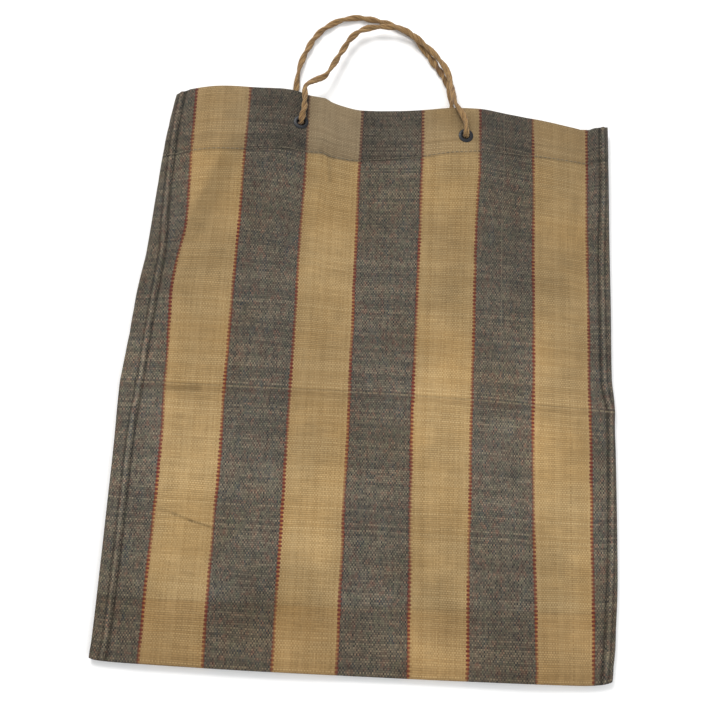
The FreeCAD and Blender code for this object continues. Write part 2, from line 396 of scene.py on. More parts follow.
def striped_cloth(name, outside=True, marked_and_shaded=True):
    g = Graph(name, 0.92, Sheen_Weight=0.1, Sheen_Roughness=0.5, Specular_IOR_Level=0.15)
    u, v = g.uv()
    across_mm = g.times(u, 1000.0)
    along_mm = g.times(v, 1000.0)
    wander = g.noise(g.vector(u, g.times(v, 0.6)), 22.0, 3.0)
    wander_2 = g.noise(g.vector(g.times(u, 0.5), v, 3.0), 26.0, 3.0)
    across = g.line(g.minus(wander, 0.5), 3.0, across_mm)
    along = g.line(g.minus(wander_2, 0.5), 4.0, along_mm)
    warp_number, weft_number, weft_on_top, warp_arch, weft_arch, height = weave(g, across, along)

    # Each yarn differs a little along its length and from its neighbours.
    warp_tone = g.minus(g.random(warp_number, 3.0), 0.5)
    weft_tone = g.minus(g.random(weft_number, 11.0), 0.5)
    warp_slub = g.minus(g.noise(g.vector(warp_number, g.times(along, 0.05)), 1.0, 2.0), 0.5)
    weft_slub = g.minus(g.noise(g.vector(g.times(across, 0.05), weft_number, 5.0), 1.0, 2.0), 0.5)
    fleck = g.random(warp_number, weft_number)

    # Stripes, each border a warp of red that shows as short dashes.
    phase = g.math("MODULO", g.plus(across, STRIPE_REPEAT - FIRST_BORDER + DARK_STRIPE), STRIPE_REPEAT)
    dark_share = g.range(phase, DARK_STRIPE - 0.3, DARK_STRIPE + 0.3, 1.0, 0.0)
    to_border = g.math(
        "MINIMUM",
        g.math("MINIMUM", phase, g.minus(STRIPE_REPEAT, phase)),
        g.math("ABSOLUTE", g.minus(phase, DARK_STRIPE)),
    )
    dash = g.math("PINGPONG", weft_number, 1.0)
    ragged = g.line(g.random(weft_number, 29.0), 0.5, 0.95)
    dash_share = g.times(dash, g.range(g.minus(to_border, ragged), 0.0, 0.5, 1.0, 0.0))
    red_share = g.range(to_border, 0.55, 1.25, 0.8, 0.0)

    cream_warp = g.mix(g.line(warp_tone, 0.9, 0.5, limit=True), *CREAM_WARP)
    cream_weft = g.mix(g.line(weft_tone, 0.9, 0.5, limit=True), *CREAM_WEFT)
    dark_warp = g.mix(g.line(warp_tone, 1.0, 0.5, limit=True), *DARK_WARP)
    dark_weft = g.mix(g.line(weft_tone, 1.0, 0.5, limit=True), *DARK_WEFT)
    # The dark yarn is mixed: some of it leans to red, some to blue and some to green.
    hue = g.noise(g.vector(g.times(across, 0.35), g.times(along, 0.12)), 0.35, 3.0, 0.7)
    dark_warp = g.mix(g.range(hue, 0.52, 0.66, 0.0, 0.55), dark_warp, linear(82, 54, 48))
    dark_warp = g.mix(g.range(hue, 0.48, 0.34, 0.0, 0.6), dark_warp, linear(44, 56, 66))
    tint = g.noise(g.vector(g.times(across, 0.7), g.times(along, 0.5), 3.0), 0.5, 2.0)
    dark_weft = g.mix(g.range(tint, 0.52, 0.68, 0.0, 0.35), dark_weft, linear(94, 104, 82))
    dark_weft = g.mix(g.range(tint, 0.46, 0.30, 0.0, 0.5), dark_weft, linear(134, 96, 80))
    seen = g.line(fleck, 0.55, g.times(weft_on_top, 0.5), limit=True)
    cream = g.mix(weft_on_top, cream_warp, cream_weft)
    cloth = g.mix(dark_share, cream, g.mix(seen, dark_warp, dark_weft))
    fading = g.range(g.noise(g.vector(g.times(u, 3.0), v, 4.0), 16.0, 3.0), 0.35, 0.65, 0.45, 1.0)
    worn = g.range(g.noise(g.vector(u, v, 8.0), 18.0, 2.0), 0.4, 0.6)
    border = g.mix(worn, linear(116, 62, 46), linear(150, 94, 50))
    cloth = g.mix(g.times(red_share, fading), cloth, border)
    cloth = g.mix(g.times(dash_share, fading), cloth, linear(98, 44, 38))

    # Yarn tone, and the shade between the yarns, deepest between one weft and the next.
    tone = g.line(warp_slub, 0.30, 1.0)
    tone = g.line(weft_slub, 0.45, tone)
    tone = g.line(g.minus(fleck, 0.5), 0.10, tone)
    ribs = g.range(g.noise(g.vector(u, v, 9.0), 20.0, 2.0), 0.35, 0.65, 0.12, 0.40)
    between_wefts = g.range(weft_arch, 0.0, 0.8, 1.0, 0.0)
    tone = g.times(tone, g.minus(1.0, g.times(between_wefts, ribs)))
    tone = g.shaded(tone, g.range(warp_arch, 0.0, 0.7, 1.0, 0.0), 0.12)
    tone = g.times(tone, g.range(g.noise(g.vector(u, v), 7.0, 4.0, 0.6), 0.33, 0.67, 0.84, 1.12))
    tone = g.times(tone, g.range(g.noise(g.vector(u, v, 2.0), 24.0, 3.0), 0.3, 0.7, 0.93, 1.06))
    colour = cloth
    if outside:
        # Darker towards the mouth, paler round the mid crease.
        tone = g.times(tone, g.range(along_mm, 235.0, 320.0, 1.0, 0.89))
        tone = g.shaded(tone, g.band(along_mm, 165.0, 50.0, 60.0), -0.09)
        past_seam = g.times(g.uv("seam")[0], 1000.0)
        # Painted shade and highlight beside the side seam's ridge.
        for centre, half, soft, amount in SEAM_PAINTED_SHADE_AND_HIGHLIGHT:
            tone = g.shaded(tone, g.band(past_seam, centre, half, soft), amount)
        hem = g.math("MAXIMUM", HEM_LOW, g.line(across_mm, HEM_SLOPE, HEM_BASE))
        past_hem = g.minus(along_mm, hem)
        in_hem = g.range(past_hem, -0.8, 0.8)
        tone = g.shaded(tone, in_hem, 0.12)
        tone = g.shaded(tone, g.band(past_hem, 0.0, 0.4, 1.4), 0.16)
        tone = g.shaded(tone, g.band(past_hem, 13.0, 0.3, 1.2), 0.12)
        tuck = g.line(across_mm, TUCK_SLOPE, TUCK_BASE)
        past_tuck = g.minus(along_mm, tuck)
        tone = g.shaded(tone, g.band(past_tuck, 0.0, 0.4, 1.6), 0.10)
        # Dark marks, with painted shade along creases and a painted shadow under the mid crease.
        for start, end, half, soft, amount in MARKS_AND_PAINTED_SHADE if marked_and_shaded else []:
            away = g.from_line(across_mm, along_mm, start, end)
            tone = g.shaded(tone, g.range(away, half, half + soft, 1.0, 0.0), amount)
        soiled = g.times(in_hem, g.band(across_mm, 168.0, 22.0, 75.0))
        tone = g.shaded(tone, soiled, 0.26)
        grey = g.mix(1.0, cloth, linear(128, 118, 102), "COLOR")
        colour = g.mix(g.line(soiled, 0.32, g.times(in_hem, 0.10)), colour, grey)
        browned = g.mix(1.0, colour, (0.98, 0.90, 0.80), "MULTIPLY")
        colour = g.mix(g.range(past_tuck, 2.0, -2.0, 0.0, 0.55), colour, browned)
    colour = g.scaled(colour, tone)
    yellowing = g.range(g.noise(g.vector(u, v, 7.0), 14.0, 3.0), 0.42, 0.72, 0.0, 0.6)
    colour = g.mix(yellowing, colour, g.mix(1.0, colour, (1.0, 0.93, 0.80), "MULTIPLY"))
    if outside and marked_and_shaded:
        # The mid crease is rubbed: the dark yarns have lost some colour there, in short dashes.
        from_crease = g.minus(along_mm, CREASE_UP)
        rub = g.band(from_crease, 0.3, 0.2, 0.7)
        pieces = g.noise(g.vector(g.times(across, 0.45), 0.0, 2.0), 1.0, 1.0)
        dashes = g.range(pieces, 0.40, 0.56)
        rubbed = g.times(g.times(rub, dashes), g.line(dark_share, 0.36, 0.10))
        # Painted shade in brown just below the crease's ridge.
        shade_below_crease = g.band(from_crease, -2.6, 0.5, 3.2)
        colour = g.mix(g.times(shade_below_crease, 0.13), colour, linear(70, 52, 34))
        colour = g.mix(rubbed, colour, linear(158, 142, 114))
        # One paler warp yarn shows above the crease.
        stray_length = g.range(along_mm, 236.0, 300.0, 0.0, 0.16)
        stray = g.times(g.band(across, 308.5, 0.2, 0.5), stray_length)
        colour = g.mix(stray, colour, linear(140, 128, 106))
    return g.finish(colour, height, 0.45 * MM, 0.5)


def twine():
    """Two plies of golden fibre. u goes round a ply with its fibres and v along it, in metres."""
    g = Graph("twine", 0.8, Sheen_Weight=0.15, Specular_IOR_Level=0.25)
    u, v = g.uv()
    ring = g.times(u, 2 * pi)
    round_x = g.times(g.math("COSINE", ring), 2.2)
    round_y = g.times(g.math("SINE", ring), 2.2)
    strands = g.noise(g.vector(round_x, round_y, g.times(v, 40.0)), 2.6, 4.0, 0.7)
    patches = g.noise(g.vector(round_x, round_y, g.times(v, 90.0)), 0.5, 3.0)
    # The fibres run from dark where the bump is low to light where it is high: their own tone, with painted
    # shade in the grooves between them.
    colour = g.mix(g.range(strands, 0.34, 0.66), linear(74, 50, 29), linear(174, 140, 92))
    colour = g.mix(g.range(patches, 0.50, 0.72, 0.0, 0.75), colour, linear(88, 56, 34))
    return g.finish(colour, strands, 0.5 * MM, 0.9)


def enamel():
    g = Graph("eyelet_enamel", 0.5, Specular_IOR_Level=0.35)
    place = g.place()
    wear = g.noise(place, 900.0, 4.0, 0.6)
    worn = g.range(wear, 0.56, 0.70)
    colour = g.mix(worn, linear(15, 18, 25), linear(38, 39, 44))
    rough = g.range(g.noise(place, 1800.0, 3.0), 0.3, 0.7, 0.34, 0.62)
    return g.finish(colour, wear, 0.05 * MM, 0.5, rough)


def cotton(name, low, high):
    """Sewing thread: a fine twist along its length."""
    g = Graph(name, 0.7, Sheen_Weight=0.2)
    u, v = g.uv()
    turn = g.math("SINE", g.plus(g.times(v, 9000.0), g.times(u, 2 * pi)))
    # Darker in the grooves of the twist and lighter on its crests: painted shade and highlight.
    colour = g.mix(g.line(turn, 0.35, 0.5), low, high)
    return g.finish(colour, turn, 0.1 * MM, 0.6)


def plain_floor():
    g = Graph("pale_floor", 0.85)
    shade = g.noise(g.place(), 3.0, 2.0)
    return g.finish(g.mix(shade, (0.93, 0.93, 0.93), (0.95, 0.95, 0.95)))


# The yarns' darkest and lightest colours.
CREAM_WARP = (linear(146, 119, 78), linear(163, 137, 95))
CREAM_WEFT = (linear(154, 127, 86), linear(171, 146, 105))
DARK_WARP = (linear(42, 42, 45), linear(64, 62, 58))
DARK_WEFT = (linear(96, 89, 77), linear(127, 116, 98))
CLOTH_OUT = striped_cloth("striped_cloth")
CLOTH_BACK = striped_cloth("striped_cloth_back", marked_and_shaded=False)
CLOTH_IN = striped_cloth("striped_cloth_inside", outside=False)
TWINE = twine()
ENAMEL = enamel()
THREAD = cotton("seam_thread", linear(80, 72, 60), linear(132, 120, 96))


# ---- cord handles
# Each cord's route from knot to knot, hinge to hinge as in the frame's own solids.
FRONT_ROUTE = [
    (-72, 216, 12.5), (-72, 216, 18.5), (-72, 216.3, 24.4), (-69.5, 228, 24.6), (-70.3, 243, 23.4),
    (-70, 253, 19.6), (-63, 259.5, 16), (-54, 266, 13), (-51, 270.5, 12.2), (-47, 279.5, 11),
    (-40.5, 293, 9.5), (-33, 309, 8.8), (-25, 318.2, 8.6), (-12, 324, 8.6), (4, 325.6, 8.6),
    (18.5, 323, 8.8), (27.5, 316, 9), (38.5, 307, 9.2), (52, 292.3, 9), (58.2, 279, 9.8),
    (60, 267, 12.6), (60, 256, 18.5), (61.5, 244.5, 23.6), (67, 236, 24.8), (71, 228, 24.6),
    (72, 216.6, 24.4), (72, 216, 18.5), (72, 216, 12.5),
]
BACK_ROUTE = [
    (-84, 216, 14), (-84, 216, 8.2), (-84, 216.4, 2.8), (-81.5, 234, 2.6), (-78, 254, 2.6),
    (-77.5, 270, 2.6), (-75.5, 285, 2.6), (-66, 309, 2.6), (-57, 321, 2.6), (-44, 331, 2.6),
    (-27, 336.5, 2.6), (-8, 334.5, 2.6), (11, 330, 2.6), (23, 323.6, 2.9), (32.3, 312.8, 3.2),
    (47.8, 291.4, 3.2), (57.3, 276.6, 3.0), (61.8, 258, 2.6), (62.5, 240, 2.6), (60, 216.4, 2.8),
    (60, 216, 8.2), (60, 216, 14),
]
PLY_RADIUS = 1.62 * MM
PLY_OFFSET = 1.15 * MM
TURN_LENGTH = 34 * MM
FIBRE_TURN = 26 * MM
LOBE_DEPTH = 0.10


def centreline(route, pitch=0.6 * MM):
    """Even points along the smooth line that a route's points control."""
    data = bpy.data.curves.new("route", "CURVE")
    data.dimensions = "3D"
    data.resolution_u = 24
    spline = data.splines.new("NURBS")
    spline.points.add(len(route) - 1)
    for point, place in zip(spline.points, route):
        point.co = (place[0] * MM, place[1] * MM, place[2] * MM, 1)
    spline.order_u = 3
    spline.use_endpoint_u = True
    carrier = new_object("route", data)
    line = bpy.data.meshes.new_from_object(carrier)
    rough = [v.co.copy() for v in line.vertices]
    bpy.data.objects.remove(carrier)
    bpy.data.meshes.remove(line)
    even = [rough[0]]
    carry = 0.0
    for a, b in zip(rough, rough[1:]):
        run = (b - a).length
        while run > 1e-9 and carry + run >= pitch:
            a = a + (b - a) * ((pitch - carry) / run)
            even.append(a)
            run = (b - a).length
            carry = 0.0
        carry += run
    return even


def length_of(points):
    return sum((b - a).length for a, b in zip(points, points[1:]))


def frames(points):
    """A direction and two cross directions at each point, turning as little as possible."""
    result = []
    across = None
    for i, point in enumerate(points):
        ahead = (points[min(i + 1, len(points) - 1)] - points[max(i - 1, 0)]).normalized()
        if across is None:
            across = ahead.orthogonal().normalized()
        across = (across - ahead * across.dot(ahead)).normalized()
        result.append((point, ahead, across, ahead.cross(across)))
    return result


def tube_mesh(vertices, faces, uvs, path, radius_at, sides=18, seed=0.0):
    """Adds one ply: a tube whose section has uneven ridges that wind along it, as its fibres do."""
    first = len(vertices)
    along = 0.0
    stations = frames(path)
    for i, (point, ahead, across, up) in enumerate(stations):
        if i:
            along += (point - stations[i - 1][0]).length
        radius = radius_at(i / (len(stations) - 1), along)
        for k in range(sides):
            angle = 2 * pi * k / sides
            wound = angle - 2 * pi * along / FIBRE_TURN
            ridge = cos(5 * wound) + 0.7 * cos(8 * wound + 2.2 * seed)
            ridge += 1.6 * uneven(2 * cos(wound), 2 * sin(wound), along * 90 + seed)
            out = radius * (1 + LOBE_DEPTH * ridge / 2)
            vertices.append(point + ring_place(across, up, angle) * out)
            uvs.append((k / sides - along / FIBRE_TURN, along))
    close_tube(faces, first, len(stations), sides)


def swell_at(share, swell):
    """How much fatter or thinner than usual the cord is at a place along it."""
    return 1 + sum(extra * hump(share, where, width) for where, width, extra in swell)


def rope(name, path, seed, swell=()):
    """Two plies loosely twisted along a path. swell lists (place along, width, extra share)."""
    vertices, faces, uvs = [], [], []
    total = length_of(path)
    stations = frames(path)
    for ply in range(2):
        line = []
        along = 0.0
        turn = pi * ply + seed
        for i, (point, ahead, across, up) in enumerate(stations):
            if i:
                run = (point - stations[i - 1][0]).length
                along += run
                pace = 1 + 1.1 * uneven(along * 22, seed, 0)
                turn += 2 * pi * run / TURN_LENGTH * pace
            fat = swell_at(along / total, swell)
            offset = PLY_OFFSET * (1 + 0.30 * uneven(along * 45, seed, 4)) * fat
            line.append(point + ring_place(across, up, turn) * offset)

        def radius_at(share, along, ply=ply):
            return PLY_RADIUS * swell_at(share, swell) * (1 + 0.22 * uneven(along * 60, seed + ply, 9))

        tube_mesh(vertices, faces, uvs, line, radius_at, seed=seed + ply)
    obj = mesh_object(name, vertices, faces, uvs)
    obj.data.materials.append(TWINE)
    return obj


def knot(name, centre, facing):
    """An overhand knot, drawn tight: one twisted cord wound through itself."""
    size = 1.2 * MM
    points = []
    count = 150
    for i in range(count + 1):
        a = 2 * pi * i / count
        x = size * (sin(a) + 2 * sin(2 * a))
        y = size * (cos(a) - 2 * cos(2 * a))
        points.append(centre + Vector((x, y, -facing * 1.7 * MM * sin(3 * a))))
    vertices, faces, uvs = [], [], []
    for ply in range(2):
        line = []
        for i, (point, ahead, across, up) in enumerate(frames(points)):
            turn = pi * ply + 2 * pi * 5 * i / count
            line.append(point + ring_place(across, up, turn) * 0.85 * MM)
        tube_mesh(vertices, faces, uvs, line, lambda share, along: 1.05 * MM, sides=12, seed=ply)
    obj = mesh_object(name, vertices, faces, uvs)
    obj.data.materials.append(TWINE)
    return obj


# Route, body at its ends, body that swings, the blend's start and end past the hinge, seed, swellings.
HANDLES = {
    "front": (FRONT_ROUTE, "front_upper", "front_handle", 0.5 * MM, 11 * MM, 1.3,
              ((0.26, 0.02, -0.12), (0.70, 0.06, 0.12), (0.79, 0.012, 0.12))),
    "back": (BACK_ROUTE, "upper", "back_handle", -5 * MM, 5 * MM, 4.1,
             ((0.20, 0.03, -0.08), (0.70, 0.06, 0.15))),
}
for layer, (route, holder, handle, before, after, seed, swell) in HANDLES.items():
    path = centreline(route)
    cord = rope(f"{layer}_handle_rope", path, seed, swell)
    for side in SIDES:
        low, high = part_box(f"{layer}_{side}_cord_end")
        eyelet = EYELETS[layer, side]
        facing = 1 if layer == "front" else -1
        level = (low[2] if layer == "front" else high[2]) + facing * 4 * MM
        tied = knot(f"{layer}_{side}_knot", Vector((eyelet.x, eyelet.y, level)), facing)
        stand_for([f"{layer}_{side}_cord_end"])
        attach(tied, holder)
    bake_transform(cord)
    stand_for([f"{layer}_handle_cord"])
    print(layer, "handle rope", round(length_of(path), 4))

# ---- outline of the bag as it lies
LEFT_EDGE = in_metres([
    (-241, -205), (-236, -206), (-223, -204.5), (-163, -204), (-101, -204.5), (-61, -204.5), (-28, -204),
    (-8, -202.5), (19, -200), (50, -198), (70, -196), (92, -193.2), (128, -191), (164, -189), (200, -186.3),
    (238, -181.5), (244, -179.5), (248, -176),
])
RIGHT_EDGE = in_metres([
    (-241, 196), (-205, 199.7), (-142, 203.7), (-77, 205.4), (-20, 206), (-8, 203.5), (8, 201.7), (79, 202.4),
    (173, 202.8), (248, 203.6),
])
TOP_EDGE = in_metres([
    (-205, 236), (-182, 239), (-170, 243.2), (-148, 247.2), (-118, 248.1), (-80, 245.6), (-66, 241.8),
    (-56, 241.0), (-51, 240.6), (-47, 238.4), (-38, 236.2), (-18, 234.0), (34, 238.9), (84, 243),
    (135, 240.3), (172, 236.2), (182, 235.0), (191, 239), (206, 242.5),
])
BOTTOM_EDGE = in_metres([
    (-205, -235.5), (-198, -237.6), (-173, -238.8), (-84, -240.5), (0, -241), (69, -241.2), (172, -240.6),
    (190, -239), (200, -236),
])
CREASE_ARCH = in_metres([(-205, -2.4), (-118, -1.2), (-18, 0.6), (100, 0), (205, -2.2)])
CLOTH_WIDTH = 2 * HALF_WIDTH
LOWER_LENGTH = CREASE - BOTTOM
UPPER_LENGTH = MOUTH - CREASE
# The eight stripe borders: where each is on the flat cloth, then its way up the bag as (y, x).
BORDERS = {
    37: [(-241, -168), (-188, -167.5), (-148, -167), (-68, -166.5), (-19, -168.2), (5, -168), (33, -169.4),
         (60, -170), (88, -167), (117, -163.4), (173, -163.2), (241, -164)],
    85: [(-241, -119.5), (-190, -120.5), (-100, -119.2), (-19, -120), (100, -119), (170, -118.5),
         (241, -117.7)],
    137: [(-241, -67.8), (-19, -67), (241, -65.8)],
    185: [(-241, -18.5), (-19, -18.6), (241, -19)],
    237: [(-241, 36.5), (-190, 36), (-120, 34.5), (-19, 33.5), (100, 35), (170, 35.5), (241, 34)],
    285: [(-241, 82), (-120, 82), (-19, 82.8), (100, 84), (241, 84.6)],
    337: [(-241, 136.5), (-190, 135.5), (-120, 134), (-19, 134), (60, 135), (200, 133.2),
          (241, 133.2)],
    385: [(-241, 181.5), (-190, 182), (-19, 182.5), (120, 182), (241, 182)],
}
BORDERS = {at * MM: in_metres(stations) for at, stations in BORDERS.items()}
FIRST_AT, LAST_AT = min(BORDERS), max(BORDERS)
# The sewn side seams, (y, distance in from the visible edge).
SEAM_IN = {
    "left": in_metres([
        (-241, 11), (-120, 13), (-60, 14), (-19, 16), (19, 14.5), (55, 14.5), (92, 13), (128, 10),
        (173, 8), (241, 5),
    ]),
    "right": in_metres([(-241, 6.5), (-19, 6.7), (100, 8), (180, 6.2), (241, 6.5)]),
}


def left_edge(y):
    return through(LEFT_EDGE, y)


def right_edge(y):
    return through(RIGHT_EDGE, y)


def border_x(at, y):
    return through(BORDERS[at], y)


def seam_at(side, y):
    """How much cloth lies between the first or last border and the sewn seam beside it."""
    if side == "left":
        return border_x(FIRST_AT, y) - left_edge(y) - through(SEAM_IN[side], y)
    return right_edge(y) - through(SEAM_IN[side], y) - border_x(LAST_AT, y)


# ---- relief of the front
def tilted_crease(x, y, ends, depth, width):
    """A short soft crease between two points."""
    (x0, y0), (x1, y1) = ends
    dx, dy = x1 - x0, y1 - y0
    k = clamp(((x - x0) * dx + (y - y0) * dy) / (dx * dx + dy * dy))
    away = hypot(x - x0 - k * dx, y - y0 - k * dy)
    return depth * exp(-((away / width) ** 2)) * (0.35 + 0.65 * sin(pi * k))


# Each crease: its two ends, its height and its half width, in millimetres.
CREASES = [
    ((-150, -126), (-112, -140), 0.9, 3.0),
    ((-176, 150), (-138, 118), 1.0, 7),
    ((-172, 186), (-160, 110), -1.0, 6),
    ((-52, 170), (-44, 158), 0.7, 2.2),
    ((-120, 235), (-96, 190), 1.2, 10),
    ((20, 236), (30, 196), -1.0, 12),
    ((116, 238), (108, 176), 0.9, 9),
    ((-10, -26), (20, -90), 0.8, 12),
    ((120, -30), (96, -96), 0.7, 12),
    ((-120, -60), (-70, -64), -0.7, 10),
    ((150, -200), (60, -180), 0.6, 9),
    ((60, 120), (92, 40), -0.6, 12),
    ((150, 150), (166, 40), 0.6, 9),
]


def relief(x, y):
    """How far the front cloth stands off its even level."""
    z = 1.1 * MM * uneven(x * 9, y * 7, 0.3)
    z += 0.40 * MM * uneven(x * 26, y * 20, 1.7)
    z += 0.10 * MM * uneven(x * 90, y * 70, 4.1)
    for start, end, depth, width in CREASES:
        ends = [(start[0] * MM, start[1] * MM), (end[0] * MM, end[1] * MM)]
        z += tilted_crease(x, y, ends, depth * MM, width * MM)
    return z


KNOT_HALF = 9 * MM
MOUTH_SAG = 14.2 * MM


def hem_y(x):
    share = (hem_line((x + HALF_WIDTH) / MM) * MM - LOWER_LENGTH) / UPPER_LENGTH
    return CREASE * (1 - share) + through(TOP_EDGE, x) * share


def beside_eyelet(layer, side, x, width):
    """1 over a knot and its eyelet, fading beside them."""
    away = max(0.0, abs(x - EYELETS[layer, side].x) - KNOT_HALF)
    return exp(-((away / width) ** 2))


def mouth_height(x):
    """Level of the front hem: it stands on the knots and hangs lower between them and at the sides."""
    level = MOUTH_SAG
    for side in SIDES:
        level += (MOUTH_TOP - CLOTH / 2 - MOUTH_SAG) * beside_eyelet("front", side, x, 24 * MM)
    level -= 4.5 * MM * smooth(130 * MM, 195 * MM, abs(x))
    return min(level, MOUTH_TOP - CLOTH / 2)


def front_level(x, y):
    base = FLAT_TOP - 0.9 * MM
    rise = smooth(120 * MM, 205 * MM, y)
    near_eyelet = max(hump(x, EYELETS["front", side].x, 13 * MM) for side in SIDES)
    near_eyelet *= hump(y, EYELET_LINE, 13 * MM)
    z = base + (mouth_height(x) - base) * rise + relief(x, y) * (1 - 0.98 * min(1, near_eyelet * 1.6))
    # The mid crease stands as a low, sharp ridge with a hollow just below it.
    from_crease = y - CREASE - through(CREASE_ARCH, x)
    z += 1.0 * MM * exp(-abs(from_crease) / (5 * MM))
    z -= 0.9 * MM * hump(from_crease, -14 * MM, 9 * MM)
    # Doubled cloth stands a little higher beyond the hem's stitch line.
    hem_at = hem_y(x)
    z += 0.35 * MM * (smooth(hem_at - 1 * MM, hem_at + 2.5 * MM, y) - 1) * rise
    z -= 0.35 * MM * hump(y, hem_at, 1.2 * MM)
    # The front is softly rounded down to the bottom fold.
    z -= 2.4 * MM * smooth(BOTTOM + 12 * MM, BOTTOM, y)
    return z


def margin(reach, taken, roll, top, floor):
    """Where cloth lies past the last stripe border: flat, then rolled down over the side.

    reach is how far the outline is from the border and taken how much cloth is used.
    Gives (across, level)."""
    flat = max(reach - roll, 0.2 * MM)
    if taken <= flat:
        return taken, top
    angle = (taken - flat) / roll
    if angle <= pi:
        drop = min(2 * roll, top - floor)
        return flat + roll * sin(angle), top - drop * (1 - cos(angle)) / 2
    return flat - (taken - flat - pi * roll), floor


def seam_relief(past):
    """The pinched side seam: a hollow, a sharp ridge, then a second low ridge near the edge."""
    return (
        1.15 * MM * hump(past, 0.6 * MM, 1.3 * MM)
        - 0.9 * MM * hump(past, -2.4 * MM, 1.8 * MM)
        - 0.5 * MM * hump(past, 3.2 * MM, 1.0 * MM)
        - 0.5 * MM * smooth(0, 4 * MM, past)
    )


def past_seam(across, y):
    """Distance over the cloth past the nearer side seam, towards the bag's edge."""
    if across < CLOTH_WIDTH / 2:
        return FIRST_AT - across - seam_at("left", y)
    return across - LAST_AT - seam_at("right", y)


EDGE_LEVEL = 4.5 * MM
LOWEST_EDGE = 4.4 * MM
LEFT_ROLL = 4.0 * MM
RIGHT_ROLL = 2.6 * MM


def front_point(across, y):
    """A place on the front cloth: across is measured over the cloth from its left edge."""
    if FIRST_AT <= across <= LAST_AT:
        x = through([(at, border_x(at, y)) for at in BORDERS], across)
        return Vector((x, y, front_level(x, y) + seam_relief(past_seam(across, y))))
    if across < FIRST_AT:
        x_base = border_x(FIRST_AT, y)
        reach, taken, roll, sign = x_base - left_edge(y), FIRST_AT - across, LEFT_ROLL, -1
    else:
        x_base = border_x(LAST_AT, y)
        reach, taken, roll, sign = right_edge(y) - x_base, across - LAST_AT, RIGHT_ROLL, 1
    top = front_level(x_base + sign * min(taken, reach), y)
    top -= 1.3 * MM * smooth(0, 1, taken / (37 * MM))
    out, level = margin(reach, taken, roll, top, EDGE_LEVEL)
    raised = smooth(0.4, 1.0, (level - EDGE_LEVEL) / max(top - EDGE_LEVEL, MM))
    level += seam_relief(past_seam(across, y)) * raised
    return Vector((x_base + sign * out, y, max(level, LOWEST_EDGE)))


def row_height(across, share, low_stations, high_stations):
    """y of a row between two outline curves, at the x that this column is near."""
    x = across - HALF_WIDTH
    return through(low_stations, x) * (1 - share) + through(high_stations, x) * share


CREASE_LINE = [(x, CREASE + arch) for x, arch in CREASE_ARCH]
FRONT_PITCH = 2.4 * MM
COLUMNS = steps(0, CLOTH_WIDTH, FRONT_PITCH)
FOLD_RADIUS = 1.0 * MM
FOLD_TURN = [0.25, 0.5, 0.75, 1.0]  # shares of the half turn over the mouth
HOLE_RADIUS = 4.3 * MM


def lower_front(across, share):
    y = row_height(across, share, BOTTOM_EDGE, CREASE_LINE)
    return front_point(across, y), (across, share * LOWER_LENGTH), past_seam(across, y)


def upper_front(across, row):
    """Rows 0 to 1 go up to the mouth; past 1 the cloth turns over the mouth's fold."""
    y = row_height(across, min(row, 1), CREASE_LINE, TOP_EDGE)
    place = front_point(across, y)
    if row > 1:
        angle = (row - 1) * pi
        place.y += FOLD_RADIUS * sin(angle)
        place.z -= FOLD_RADIUS * (1 - cos(angle))
    up = LOWER_LENGTH + min(row, 1) * UPPER_LENGTH + max(row - 1, 0) * pi * FOLD_RADIUS
    return place, (across, up), past_seam(across, y)


def eyelet_hole(layer):
    def inside(centre):
        return any(
            (centre.xy - EYELETS[layer, side].xy).length < HOLE_RADIUS
            for side in SIDES
        )

    return inside


def finish_cloth(obj, nodes, material=CLOTH_OUT):
    obj.data.materials.append(material)
    thicken(obj)
    stand_for(nodes)
    return obj


front_lower = grid("front_cloth_lower", COLUMNS, steps(0, 1, 0.0108), lower_front)
finish_cloth(front_lower, ["front_panel_lower"])
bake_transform(front_lower)

front_rows = steps(0, 1, 0.0092) + [1 + turn for turn in FOLD_TURN]
front_upper = grid("front_cloth_upper", COLUMNS, front_rows, upper_front, eyelet_hole("front"))
finish_cloth(front_upper, ["front_panel_upper"])
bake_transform(front_upper)

# ---- back cloth
FAR = -1.0  # no seam near
BACK_INSET = 2.0 * MM
BACK_EDGE_LEVEL = 0.6 * MM
BACK_COLUMN = 0.0085  # share of the width
BACK_MOUTH_INSET = 2.5 * MM


def back_level(x, y):
    rise = smooth(150 * MM, 203 * MM, y)
    lift = max(beside_eyelet("back", side, x, 22 * MM) for side in SIDES)
    lift = max(lift, 0.45 * smooth(150 * MM, 110 * MM, abs(x)))
    z = CLOTH / 2 + BACK_MOUTH * rise * lift
    z += 0.8 * MM * smooth(BOTTOM + 10 * MM, BOTTOM, y)
    return z


def back_point(share, y):
    x = left_edge(y) + BACK_INSET + (right_edge(y) - left_edge(y) - 2 * BACK_INSET) * share
    edge = min(share, 1 - share) * CLOTH_WIDTH
    lift = (BACK_EDGE_LEVEL - CLOTH / 2) * smooth(8 * MM, 0, edge)
    return Vector((x, y, back_level(x, y) + lift))


def back_row(share_across, row):
    x = (share_across - 0.5) * CLOTH_WIDTH
    low, high = through(BOTTOM_EDGE, x) + 0.8 * MM, through(TOP_EDGE, x) - BACK_MOUTH_INSET
    crease = CREASE + through(CREASE_ARCH, x)
    share = min(row, 2)
    y = low + (crease - low) * share if share <= 1 else crease + (high - crease) * (share - 1)
    place = back_point(share_across, y)
    if row > 2:
        angle = (row - 2) * pi
        place.y += FOLD_RADIUS * sin(angle)
        place.z += FOLD_RADIUS * (1 - cos(angle))
    up = share * LOWER_LENGTH if share <= 1 else LOWER_LENGTH + (share - 1) * UPPER_LENGTH
    return place, (share_across * CLOTH_WIDTH, up), FAR


